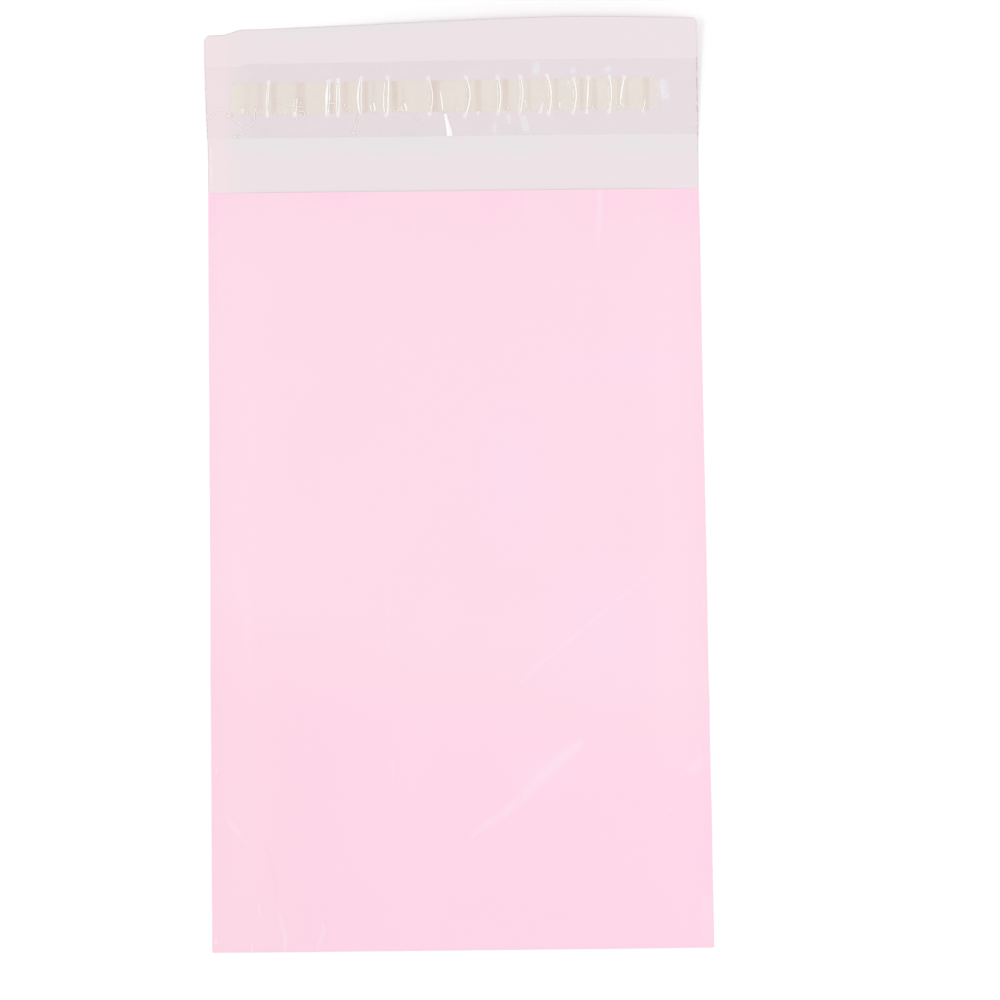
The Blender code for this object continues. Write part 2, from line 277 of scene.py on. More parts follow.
class MailerSizes(bpy.types.PropertyGroup):
    """The sizes of the bag, its glue and its liner."""

    bag_width: length("Bag width", "Across the bag, over both side welds", FILM_HIGH.x - FILM_LOW.x)
    pocket_length: length("Pocket length", "From fold to mouth", FILM_HIGH.y - FILM_LOW.y - LIP_LENGTH)
    lip_length: length("Lip length", "From the mouth to the lip's furthest point", LIP_LENGTH)
    film_thickness: length("Film thickness", "One layer of the bag's film", 0.06 * MM)
    weld_width: length("Weld width", "The fused band along each side", 3 * MM)
    middle_gap: length("Middle gap", "The air between the panels over the flat middle", 1.4 * MM)
    fold_gap: length("Fold gap", "The air between the panels at the fold", 0.3 * MM)
    mouth_gap: length("Mouth gap", "The air between the panels at the mouth", 0.2 * MM)
    lip_lift: length("Lip lift", "How far the lip's edge stands off the table", 4 * MM)
    billow: length("Billow", "How far the front panel swells and sinks", 0.35 * MM)
    glue_left: length("Glue from the left", "From the bag's left side to the glue", GLUE_LOW.x - FILM_LOW.x)
    glue_right: length("Glue from the right", "From the glue to the right side", FILM_HIGH.x - GLUE_HIGH.x)
    glue_thickness: length("Glue thickness", "How thick the strip of glue lies", 0.25 * MM)
    liner_thickness: length("Liner thickness", "The clear film over the glue", 0.05 * MM)
    bead_radius: length("Bead radius", "The melted bead along the cut sides", 0.10 * MM)


class MailerColours(bpy.types.PropertyGroup):
    """The colours of the films and the glue."""

    outside: colour("Outside", "The bag's outer face", 255, 219, 233)
    # The deep tone also carries the painted shade in the front panel's deeper creases
    outside_deep: colour("Outside, deep", "The outer face towards the fold and in its creases", 255, 209, 233)
    outside_left: colour("Outside, low left", "The outer face towards its lower left corner", 252, 215, 227)
    outside_light: colour("Outside, light", "The outer face where it catches the light", 253, 219, 239)
    inside: colour("Inside", "The bag's inner face, which the lip shows", 238, 227, 231)
    inside_grey: colour("Inside, grey", "The cooler clouds of the inner face", 233, 228, 230)
    inside_warm: colour("Inside, warm", "The lip's left side, where pink shows through", 243, 227, 230)
    glue: colour("Glue", "The strip where the liner is bonded to it", 239, 231, 222)
    glue_bare: colour("Bare glue", "The strip where the liner has lifted", 226, 210, 199)
    liner: colour("Liner", "The clear film's own tint", 208, 199, 204)
    # The liner's ends are darker brown-grey: the melted film's own tone, with painted shadow in it
    end_dark_tone: colour("Scorched edge", "The liner's right end, browned by the cut", 196, 172, 172)
    # Greyer along the lip's cut edge and the mouth: the cut edge's own tone, with painted shadow in it
    cut_edge: colour("Cut edge", "The lip's cut edge and the beads along it", 218, 208, 208)


class MailerStage(bpy.types.PropertyGroup):
    """The light on the bag."""

    room_light: bpy.props.FloatProperty(
        name="Room light",
        description="Even light from all sides, where 1 shows a colour as it is",
        default=0.74,
        min=0.0,
    )
    right_lamp: power("Right lamp", "Power of the softbox on the right", 1.5)
    left_lamp: power("Left lamp", "Power of the softbox on the left", 1.4)


class Term:
    """A node's socket that can be reckoned with: each operator adds its Math node."""

    def __init__(self, tree, socket):
        self.tree = tree
        self.socket = socket

    def __add__(self, other):
        return self.tree.sum("ADD", self, other)

    def __sub__(self, other):
        return self.tree.sum("SUBTRACT", self, other)

    def __rsub__(self, other):
        return self.tree.sum("SUBTRACT", other, self)

    def __mul__(self, other):
        return self.tree.sum("MULTIPLY", self, other)

    def __truediv__(self, other):
        return self.tree.sum("DIVIDE", self, other)

    def __pow__(self, other):
        return self.tree.sum("POWER", self, other)

    def __gt__(self, other):
        return self.tree.sum("GREATER_THAN", self, other)

    def __lt__(self, other):
        return self.tree.sum("LESS_THAN", self, other)

    def __abs__(self):
        return self.tree.sum("ABSOLUTE", self)

    __radd__ = __add__
    __rmul__ = __mul__


class Tree:
    """A shader or geometry node tree that is written as expressions."""

    def __init__(self, tree):
        self.tree = tree
        self.values = {}

    def node(self, kind, settings=None, sockets=None):
        """Any node: its settings first, then its sockets' values or links."""
        made = self.tree.nodes.new(kind)
        for name, value in (settings or {}).items():
            setattr(made, name, value)
        for name, value in (sockets or {}).items():
            self.feed(made.inputs[name], value)
        return made

    def feed(self, socket, value):
        if isinstance(value, Term):
            self.tree.links.new(value.socket, socket)
        else:
            socket.default_value = value

    def term(self, kind, settings=None, sockets=None, output=0):
        return Term(self, self.node(kind, settings, sockets).outputs[output])

    def sum(self, operation, *values):
        return self.term("ShaderNodeMath", {"operation": operation}, dict(enumerate(values)))

    def clamped(self, value):
        return self.term("ShaderNodeClamp", None, {"Value": value})

    def eased(self, share):
        """A smooth step from 0 to 1."""
        return self.term("ShaderNodeMapRange", {"interpolation_type": "SMOOTHSTEP"}, {"Value": share})

    def vector(self, x, y, z):
        return self.term("ShaderNodeCombineXYZ", None, {"X": x, "Y": y, "Z": z})

    def split(self, vector):
        parts = self.node("ShaderNodeSeparateXYZ", None, {"Vector": vector})
        return [Term(self, part) for part in parts.outputs]

    def noise(self, x, y, z=0.0, detail=2.0, roughness=0.5):
        """Soft noise around 0, mostly from -0.5 to 0.5."""
        sockets = {"Vector": self.vector(x, y, z), "Scale": 1.0, "Detail": detail, "Roughness": roughness}
        return (self.term("ShaderNodeTexNoise", None, sockets) - 0.5) * 1.6

    def mixed(self, first, second, share):
        """The second colour over the first, by a share from 0 to 1."""
        return self.term("ShaderNodeMix", {"data_type": "RGBA"}, {0: share, 6: first, 7: second}, output=2)

    def bump(self, height, distance):
        sockets = {"Height": height, "Distance": distance, "Strength": 1.0}
        return self.term("ShaderNodeBump", None, sockets)

    def size(self, name, value):
        """A named input of a geometry tree, which the modifier sets to value."""
        socket = self.tree.interface.new_socket(name, in_out="INPUT", socket_type="NodeSocketFloat")
        socket.subtype = "DISTANCE"
        self.values[socket.identifier] = value
        return Term(self, self.inlet.outputs[name])

    def stored(self, geometry, name, value, domain="POINT"):
        sockets = {"Geometry": geometry, "Name": name, "Value": value}
        return self.term("GeometryNodeStoreNamedAttribute", {"domain": domain}, sockets)

    def attribute(self, name):
        """A named value of the mesh, as a geometry tree sees it."""
        return self.term("GeometryNodeInputNamedAttribute", {"data_type": "FLOAT"}, {"Name": name})

    def painted(self, name):
        """A named value of the mesh, as a shader tree sees it."""
        return self.term("ShaderNodeAttribute", {"attribute_name": name}, output="Fac")

    def dress(self, shader, **values):
        """Sets or feeds the shader's sockets, whose names have underscores here in place of spaces."""
        for name, value in values.items():
            self.feed(shader.inputs[name.replace("_", " ")], value)

    def end(self, geometry, material, inner=None, inner_share=None):
        """Ends the tree: instances made real, and the material set, with another where inner_share is 1."""
        geometry = self.term("GeometryNodeSetShadeSmooth", None, {"Geometry": geometry})
        geometry = self.term("GeometryNodeRealizeInstances", None, {"Geometry": geometry})
        geometry = self.term("GeometryNodeSetMaterial", None, {"Geometry": geometry, "Material": material})
        if inner:
            sockets = {"Geometry": geometry, "Material": inner, "Selection": inner_share}
            geometry = self.term("GeometryNodeSetMaterial", None, sockets)
        self.tree.links.new(geometry.socket, self.node("NodeGroupOutput").inputs[0])


def geometry_tree(name):
    """An empty geometry tree, with the geometry that it starts from as its first input."""
    group = bpy.data.node_groups.new(name, "GeometryNodeTree")
    group.interface.new_socket("Lines", in_out="INPUT", socket_type="NodeSocketGeometry")
    group.interface.new_socket("Piece", in_out="OUTPUT", socket_type="NodeSocketGeometry")
    tree = Tree(group)
    tree.inlet = tree.node("NodeGroupInput")
    tree.lines = Term(tree, tree.inlet.outputs["Lines"])
    return tree


def curve_through(points, step=LINE_STEP):
    """Evenly spaced places on a smooth curve through the points."""
    ends = [2 * Vector(points[0]) - Vector(points[1]), 2 * Vector(points[-1]) - Vector(points[-2])]
    knots = [ends[0], *map(Vector, points), ends[1]]
    places = []
    for a, b, c, d in zip(knots, knots[1:], knots[2:], knots[3:]):
        steps = max(1, round((c - b).length / step))
        for i in range(steps):
            t = i / steps
            pull = (c - a) * t + (2 * a - 5 * b + 4 * c - d) * t * t + (3 * b - a - 3 * c + d) * t * t * t
            places.append(b + pull / 2)
    return [*places, Vector(points[-1])]


def placed(points, from_y):
    """Points in mm as places in metres, with their heights counted from a line across the bag."""
    return [(x * MM, from_y + y * MM) for x, y in points]


def mouth_line(sizes):
    return (sizes.pocket_length - sizes.lip_length) / 2


def fold_line(sizes):
    return -(sizes.pocket_length + sizes.lip_length) / 2


def line_mesh(name, lines):
    """A mesh of bare lines. Each line is its places, and the values that all of its points carry."""
    places, edges, columns = [], [], {}
    for line, values in lines:
        first = len(places)
        places += [(x, y, 0.0) for x, y in line]
        edges += [(k, k + 1) for k in range(first, len(places) - 1)]
        for key, value in values.items():
            columns.setdefault(key, []).extend(value if isinstance(value, list) else [value] * len(line))
    mesh = bpy.data.meshes.new(name)
    mesh.from_pydata(places, edges, [])
    for key, column in columns.items():
        mesh.attributes.new(key, "FLOAT", "POINT").data.foreach_set("value", column)
    return mesh


def ridge_line(points, reaches, taper, **values):
    """A crease or pucker along a curve, with a reach at each end, which fades over taper at both ends."""
    line = curve_through(points)
    last = len(line) - 1
    fades = [min(1.0, min(k, last - k) * LINE_STEP / taper) for k in range(last + 1)]
    fades = [s * s * (3 - 2 * s) for s in fades]
    reach = [reaches[0] + (reaches[1] - reaches[0]) * k / last for k in range(last + 1)]
    return line, {"reach": reach, "fade": fades, **values}


def grow(name, lines, tree):
    """The tree's piece as a plain mesh object at the origin, grown from the lines."""
    piece = bpy.data.objects.new(name, lines)
    bpy.context.scene.collection.objects.link(piece)
    modifier = piece.modifiers.new("shape", "NODES")
    modifier.node_group = tree.tree
    for identifier, value in tree.values.items():
        modifier[identifier] = value
    depsgraph = bpy.context.evaluated_depsgraph_get()
    mesh = bpy.data.meshes.new_from_object(piece.evaluated_get(depsgraph), depsgraph=depsgraph)
    piece.modifiers.clear()
    piece.data = mesh
    mesh.name = name
    if not mesh.polygons:
        raise RuntimeError(f"{name} came out with no faces")
    for slot in reversed(range(len(mesh.materials))):
        if mesh.materials[slot] is None:
            mesh.materials.pop(index=slot)
    mesh.set_sharp_from_angle(angle=math.radians(50))
    return piece


def place_fields(t, sizes):
    """The bag's own measures, as named inputs of a geometry tree."""
    b = SimpleNamespace()
    b.width = t.size("Bag width", sizes.bag_width)
    b.pocket = t.size("Pocket length", sizes.pocket_length)
    b.lip = t.size("Lip length", sizes.lip_length)
    b.film = t.size("Film thickness", sizes.film_thickness)
    b.lift = t.size("Lip lift", sizes.lip_lift)
    b.half = b.width * 0.5
    b.fold_y = (b.pocket + b.lip) * -0.5
    b.mouth_y = b.fold_y + b.pocket
    b.peak_x = b.half - LIP_PEAK_FROM_RIGHT
    return b


def lip_rise(t, b, x, y):
    """How far the lip's underside stands off the table."""
    out = t.sum("MAXIMUM", y - b.mouth_y, 0.0) / b.lip
    wave = t.sum("COSINE", (x - b.peak_x) * (2 * math.pi / LIP_WAVE)) * 0.5 + 0.5
    ripple = t.noise(x * 38, y * 30, 4.0, detail=1.0) * LIP_RIPPLE
    return (b.lift * wave + t.sum("MAXIMUM", ripple, 0.0)) * out * out


def side_sway(t, b, x, y):
    """How far the film's sides stray: the left one flares out on the lip, and both are a little uneven."""
    out = t.eased((y - b.mouth_y - FLARE_FROM) / FLARE_EASE)
    flare = out * t.eased((b.half - FLARE_REACH + x) * -1 / FLARE_REACH) * -LEFT_FLARE
    near = t.eased((abs(x) - (b.half - SIDE_UNEVEN_REACH)) / SIDE_UNEVEN_REACH)
    return flare + near * t.noise(x * 20, y * 55, 1.0, detail=3.0) * SIDE_UNEVENNESS


def lip_length_at(t, b, x):
    """The lip's length from the mouth to its cut edge."""
    lean = (LIP_FALL_RIGHT - LIP_FALL_LEFT) / 2
    bend = (LIP_FALL_RIGHT + LIP_FALL_LEFT) / 2
    aside = x - b.peak_x
    rounded = (aside * aside + LIP_PEAK_ROUNDING**2) ** 0.5 - LIP_PEAK_ROUNDING
    droop = (1 - t.eased((x + b.half - LEFT_CORNER_FROM) / LEFT_CORNER_EASE)) * LEFT_CORNER_DROOP
    corners = 0.0
    for from_side, radius in ((x + b.half, LEFT_CORNER_RADIUS), (b.half - x, RIGHT_CORNER_RADIUS)):
        short = t.sum("MAXIMUM", radius - from_side, 0.0)
        corners = corners + (radius - (t.sum("MAXIMUM", radius**2 - short * short, 0.0)) ** 0.5)
    uneven = t.noise(x * 70, 0.0, 7.0, detail=3.0) * LIP_UNEVENNESS
    return b.lip - aside * lean - rounded * bend - droop - corners + uneven


def nearest_line(t, place, *names):
    """How far a flat place is from the tree's lines, how far to their right, and their named values."""
    sockets = {"Geometry": t.lines, "Sample Position": place}
    near = t.node("GeometryNodeProximity", {"target_element": "EDGES"}, sockets)
    point = t.term("GeometryNodeSampleNearest", None, sockets)
    aside = t.split(place)[0] - t.split(Term(t, near.outputs["Position"]))[0]
    sampled = [
        t.term(
            "GeometryNodeSampleIndex",
            {"data_type": "FLOAT", "domain": "POINT"},
            {"Geometry": t.lines, "Value": t.attribute(name), "Index": point},
        )
        for name in names
    ]
    return Term(t, near.outputs["Distance"]), aside, *sampled


def fold_slant(b, x, y):
    """The fold is a little crooked: lower at its right end, fading out towards the mouth."""
    return x * FOLD_SLANT * (y - b.mouth_y) / b.pocket


def closed_sheet(t, columns, rows):
    """A skin along one face of a sheet, round its end and back along the other, closed at both sides.

    Its points still lie as a plain grid. Gives the steps across and along, 1 on the second face, and 1 at
    the two closed sides, where both faces have to meet.
    """
    wide, long = columns + 2, 2 * rows + 2
    sockets = {"Size X": wide, "Size Y": long, "Vertices X": wide + 1, "Vertices Y": long + 1}
    grid = t.term("GeometryNodeMeshGrid", None, sockets)
    x, y, _ = t.split(t.term("GeometryNodeInputPosition"))
    column = t.sum("ROUND", x + (columns + 2) / 2)
    row = t.sum("ROUND", y + (rows + 1))
    across = t.sum("MINIMUM", t.sum("MAXIMUM", column - 1, 0), columns)
    along = t.sum("MAXIMUM", t.sum("MINIMUM", row, 2 * rows + 1 - row), 0)
    second = (row > rows + 0.5) * (row < 2 * rows + 1.5)
    side = (column < 0.5) + (column > columns + 1.5)
    return grid, across, along, second, side


def sewn(t, geometry):
    """The sheet with its two faces joined where they meet."""
    return t.term("GeometryNodeMergeByDistance", None, {"Geometry": geometry, "Distance": MERGE_DISTANCE})


def moved_to(t, geometry, place):
    return t.term("GeometryNodeSetPosition", None, {"Geometry": geometry, "Position": place})


def folded_film(sizes, colours):
    """The bag's one web of film: lip, back panel, fold and front panel, fused along both sides."""
    t = geometry_tree("folded film")
    b = place_fields(t, sizes)
    weld = t.size("Weld width", sizes.weld_width)
    middle_gap = t.size("Middle gap", sizes.middle_gap)
    fold_gap = t.size("Fold gap", sizes.fold_gap)
    mouth_gap = t.size("Mouth gap", sizes.mouth_gap)
    billow = t.size("Billow", sizes.billow)

    before_fold = LIP_ROWS + BACK_ROWS
    before_front = before_fold + FOLD_ROWS
    sheet, across, along, inner, side = closed_sheet(t, FILM_COLUMNS, before_front + FRONT_ROWS)
    lip = 1 - t.clamped(along / LIP_ROWS)
    back = t.clamped((along - LIP_ROWS) / BACK_ROWS)
    turn = t.clamped((along - before_fold) / FOLD_ROWS)
    front = t.clamped((along - before_front) / FRONT_ROWS)

    # Columns stand closer together towards the sides
    share = across * (2 / FILM_COLUMNS) - 1
    x = b.half * (share * 1.25 - share * share * share * 0.25)
    inside = b.half - weld - abs(x)
    open_here = t.eased(inside / SIDE_EASE)
    outer_radius = (fold_gap * open_here + (inside > 0.0) * LEAST_GAP) * 0.5 + b.film
    radius = (outer_radius - inner * b.film) * (1 - side)
    angle = turn * math.pi
    straight = b.pocket - outer_radius
    y = b.fold_y + outer_radius - radius * t.sum("SINE", angle) + straight * (1 - back + front)
    y = y + lip_length_at(t, b, x) * lip

    from_fold = outer_radius + front * straight
    wider = (middle_gap - fold_gap) * t.eased(from_fold / FOLD_EASE)
    narrower = (middle_gap - mouth_gap) * (1 - t.eased((b.pocket - from_fold) / MOUTH_EASE))
    flat = t.vector(x, b.fold_y + from_fold, 0.0)
    away, _, reach, fade, rise = nearest_line(t, flat, "reach", "fade", "rise")
    crease = rise * fade * (1 - t.eased(away / reach))
    settled = 0.25 + 0.75 * t.eased((b.pocket - from_fold) / (22 * MM))
    swell = t.noise(x * 24, from_fold * 11, 2.0, detail=2.0) * billow * open_here * settled
    near_weld = t.noise(x * 60, from_fold * 130, 3.0, detail=1.0) * (0.1 * MM) * t.eased(inside / (2 * MM))
    near_weld = near_weld * (1 - t.eased(inside / (14 * MM)))
    free = t.eased(from_fold / (5 * MM)) * t.eased(front * 40)
    fused = inner * (along > LIP_ROWS - 0.5) * (inside < 1e-7)
    seam = (1 - t.eased(abs(inside) / (0.6 * MM))) * (0.04 * MM) * (1 - inner)
    z = outer_radius - radius * t.sum("COSINE", angle) + open_here * (wider - narrower)
    z = z + (swell + near_weld) * free + (crease * (1 - fused) + seam) * t.eased(front * 60) * (1 - side)
    z = z + lip_rise(t, b, x, y) * (lip > 0.0)
    y = y + fold_slant(b, x, t.sum("MINIMUM", y, b.mouth_y))
    x = x + side_sway(t, b, x, y)

    sheet = t.stored(sheet, "inner", inner)
    sheet = t.stored(sheet, "fused", fused)
    sheet = t.stored(sheet, "inner_face", t.attribute("inner") > 0.99, "FACE")
    sheet = moved_to(t, sheet, t.vector(x, y, z))
    sheet = t.term(
        "GeometryNodeDeleteGeometry",
        {"domain": "FACE"},
        {"Geometry": sheet, "Selection": t.attribute("fused") > 0.99},
    )
    inner_face = t.attribute("inner_face") > 0.5
    t.end(sewn(t, sheet), pink_side(sizes, colours), inner=pale_side(sizes, colours), inner_share=inner_face)

    lines = []
    for points, *reaches, rise, _ in CREASES:
        reaches = [max(LEAST_CREASE_REACH, reach) * MM for reach in reaches]
        lines.append(ridge_line(placed(points, fold_line(sizes)), reaches, 2 * MM, rise=rise * MM))
    return grow("folded_film", line_mesh("creases", lines), t)


def glue_edges(t, b, sizes):
    """The glue's four edges, as x and y."""
    left = t.size("Glue from the left", sizes.glue_left) - b.half
    right = b.half - t.size("Glue from the right", sizes.glue_right)
    low = b.mouth_y + (GLUE_LOW.y - mouth_line(sizes))
    high = b.mouth_y + (GLUE_HIGH.y - mouth_line(sizes))
    return left, right, low, high


def over_glue(t, edges, x, y, margin):
    """1 over the glue, easing to 0 at margin past its outline."""
    left, right, low, high = edges
    past_x = t.sum("MAXIMUM", t.sum("MAXIMUM", left - x, x - right), 0.0)
    past_y = t.sum("MAXIMUM", t.sum("MAXIMUM", low - y, y - high), 0.0)
    return (1 - t.eased(past_x / margin)) * (1 - t.eased(past_y / margin))


def glue_band(sizes, colours):
    """The strip of hot-melt glue, uneven along its edges and dipped where the liner has lifted."""
    t = geometry_tree("glue band")
    b = place_fields(t, sizes)
    thickness = t.size("Glue thickness", sizes.glue_thickness)
    left, right, low, high = glue_edges(t, b, sizes)
    sheet, across, along, under, side = closed_sheet(t, GLUE_COLUMNS, GLUE_ROWS)
    u = across / GLUE_COLUMNS
    v = along / GLUE_ROWS
    x = left + (right - left) * u
    wander = t.noise(x * 160, v * 2, 5.0, detail=2.0) * (0.35 * MM)
    y = low + (high - low) * v + wander * (abs(v - 0.5) * 2)
    round_end = t.sum("MINIMUM", x - left, right - x) / (1.2 * MM)
    middle = (low + high) * 0.5
    y = middle + (y - middle) * (0.82 + 0.18 * t.eased(round_end))
    away, _, reach, tone_depth = nearest_line(t, t.vector(x, middle, 0.0), "reach", "tone_depth")
    depth = tone_depth * (1 - t.eased(away / reach * 1.3 - 0.5))
    rim = t.eased(t.sum("MINIMUM", v, 1 - v) * 9) * t.eased(t.sum("MINIMUM", u, 1 - u) * 90)
    lumps = t.noise(x * 420, y * 260, 6.0, detail=3.0) * 0.25
    top = thickness * (0.35 + 0.55 * rim + lumps * rim - depth * 0.25)
    z = lip_rise(t, b, x, y) + b.film + top * (1 - under) * (1 - side)
    sheet = t.stored(sheet, "bare", depth * (0.75 + t.noise(x * 300, y * 120, 8.0)))
    sheet = t.stored(sheet, "thin", t.eased((x - right + THIN_GLUE) / (0.8 * MM)))
    sheet = moved_to(t, sheet, t.vector(x, y, z))
    t.end(sewn(t, sheet), cream_glue(colours))
    glue_y = (GLUE_LOW.y + GLUE_HIGH.y) / 2
    lines = []
    for patch_x, reach, tone_depth in GLUE_PATCHES:
        points = placed([(patch_x, -0.1), (patch_x, 0.1)], glue_y)
        lines.append((points, {"tone_depth": tone_depth, "reach": reach * MM}))
    return grow("glue_band", line_mesh("glue patches", lines), t)


def liner_height(t, b, edges, x, y, glue_thickness):
    """The underside of the liner where nothing puckers."""
    cover = (glue_thickness + 0.04 * MM) * over_glue(t, edges, x, y, 1.6 * MM)
    return lip_rise(t, b, x, y) + b.film + 0.05 * MM + cover


def end_blooms(count, low_y, high_y):
    """A painted highlight along a pucker, strongest where a long one runs out past the glue."""
    is_long = high_y - low_y > 3
    at_low = 0.8 if low_y < 24.3 and is_long else 0.15
    at_high = 1.0 if high_y > 34.0 and is_long else 0.0
    blooms = []
    for k in range(count):
        low_bloom = at_low * (1 - k * LINE_STEP / END_BLOOM)
        high_bloom = at_high * (1 - (count - 1 - k) * LINE_STEP / END_BLOOM)
        blooms.append(max(low_bloom, high_bloom, 0.0))
    return blooms


def bellies(count, low_y):
    """How wide each place along a pucker is. One that starts low down, clear of the glue, is a wedge."""
    if low_y < 20:
        return [1 - 0.85 * k / (count - 1) for k in range(count)]
    return [max(0.05, math.sin(math.pi * (k + 0.5) / count) ** 0.6) for k in range(count)]


def puckered_liner(sizes, colours):
    """The clear liner: flat at its margins, puckered over the glue and melted ragged at both ends."""
    t = geometry_tree("puckered liner")
    b = place_fields(t, sizes)
    glue_thickness = t.size("Glue thickness", sizes.glue_thickness)
    thickness = t.size("Liner thickness", sizes.liner_thickness)
    edges = glue_edges(t, b, sizes)
    low = b.mouth_y + (LINER_LOW.y - mouth_line(sizes))
    high = b.mouth_y + (LINER_HIGH.y - mouth_line(sizes))
    sheet, across, along, under, side = closed_sheet(t, LINER_COLUMNS, LINER_ROWS)
    u = across / LINER_COLUMNS
    v = along / LINER_ROWS
    x = b.half * (u * 2 - 1)
    step = (1 - t.eased((x + b.half - LINER_STEP_FROM_LEFT) / (1.6 * MM))) * -LINER_STEP
    wavy = t.noise(x * 45, v * 3, 9.0, detail=2.0) * (0.22 * MM)
    y = low + (high - low) * v + step * t.eased(v * 2 - 1) + wavy * (abs(v - 0.5) * 2)
    flat = t.vector(x, y, 0.0)
    names = ("reach", "fade", "gap", "left", "right", "rise", "end", "belly", "swell")
    away, aside, reach, fade, gap, left, right, rise, end, belly, swell = nearest_line(t, flat, *names)
    on_right = aside > 0.0
    wide = (left + (right - left) * on_right) * (belly ** (1.1 - on_right * 0.75))
    wobble = t.noise(x * 500, y * 190, 14.0, detail=2.0) * (0.15 + 0.25 * (gap > 0.0))
    flank = t.sum("MAXIMUM", wide, LEAST_FLANK)
    pucker = rise * fade * (1 - t.eased((away - gap) / flank + 0.5))
    from_crest = abs(away - gap * (0.35 + 0.65 * belly)) / wide
    glint = t.clamped((0.72 + wobble - from_crest) * 2.4) * fade * (wide > LEAST_GLINT)
    bloom = end * (1 - t.eased(away / t.sum("MAXIMUM", reach, END_BLOOM))) ** 1.4
    z = liner_height(t, b, edges, x, y, glue_thickness) + pucker
    z = z + t.noise(x * 90, y * 60, 10.0, detail=2.0) * (0.05 * MM) + thickness * (1 - under) * (1 - side)
    at_end = t.eased((abs(x) - (b.half - 1.6 * MM)) / (1.6 * MM))
    ragged = t.noise(x * 0.001 + 3.0, y * 620, 11.0, detail=4.0, roughness=0.7) * (0.75 * MM)
    x = x + side_sway(t, b, x, y) + at_end * (ragged + 0.1 * MM) * t.sum("SIGN", x)
    sheet = t.stored(sheet, "glint", glint)
    sheet = t.stored(sheet, "bloom", bloom)
    sheet = t.stored(sheet, "swell", swell)
    sheet = moved_to(t, sheet, t.vector(x, y, z))
    t.end(sewn(t, sheet), clear_film(colours))

    mouth = mouth_line(sizes)
    lines = []
    for low_x, middle_x, high_x, low_y, high_y, gap, left, right in PUCKERS:
        points = placed([(low_x, low_y), (middle_x, (low_y + high_y) / 2), (high_x, high_y)], mouth)
        shine = max(left, right)
        flanks = {"gap": gap * MM, "left": left * MM, "right": right * MM, "swell": 0.0}
        flanks["rise"] = 0.22 * max(shine * MM, LEAST_FLANK)
        line, values = ridge_line(points, [(gap + shine) * MM] * 2, PUCKER_TAIL, **flanks)
        values["end"] = end_blooms(len(line), low_y, high_y)
        values["belly"] = bellies(len(line), low_y)
        lines.append((line, values))
    for low_x, low_y, high_x, high_y, reach in SWELLS:
        points = placed([(low_x, low_y), (high_x, high_y)], mouth)
        flanks = {"gap": 0.3 * reach * MM, "left": 0.0, "right": 0.0, "swell": 1.0, "rise": 0.05 * MM}
        line, values = ridge_line(points, [reach * MM] * 2, SWELL_TAIL, belly=0.5, **flanks)
        values["end"] = [0.44 * fade for fade in values["fade"]]
        lines.append((line, values))
    return grow("puckered_liner", line_mesh("puckers", lines), t)


def tube(t, line, radius, sides=6):
    """A round strand along a line, of a radius that may vary."""
    circle = t.term("GeometryNodeCurvePrimitiveCircle", None, {"Resolution": sides, "Radius": 1.0})
    sockets = {"Curve": line, "Profile Curve": circle, "Scale": radius, "Fill Caps": True}
    return t.term("GeometryNodeCurveToMesh", None, sockets)


def balls(t, points, radius, seed, spread, shape, **sockets):
    """Small balls on points, each of a random size within a spread and stretched to the same shape."""
    ball = t.term("GeometryNodeMeshIcoSphere", None, {"Radius": radius, "Subdivisions": 2})
    random_sockets = {2: spread[0], 3: spread[1], "Seed": seed}
    size = t.term("FunctionNodeRandomValue", {"data_type": "FLOAT"}, random_sockets, output=1)
    scale = t.vector(*(size * share for share in shape))
    sockets = {"Points": points, "Instance": ball, "Scale": scale, **sockets}
    return t.term("GeometryNodeInstanceOnPoints", None, sockets)


def edge_line(points, step, **values):
    """A line for the cut edges, which is a plain side unless its values say more."""
    return curve_through(points, step), {"lip_edge": 0.0, "torn": 0.0, "mouth": 0.0, **values}


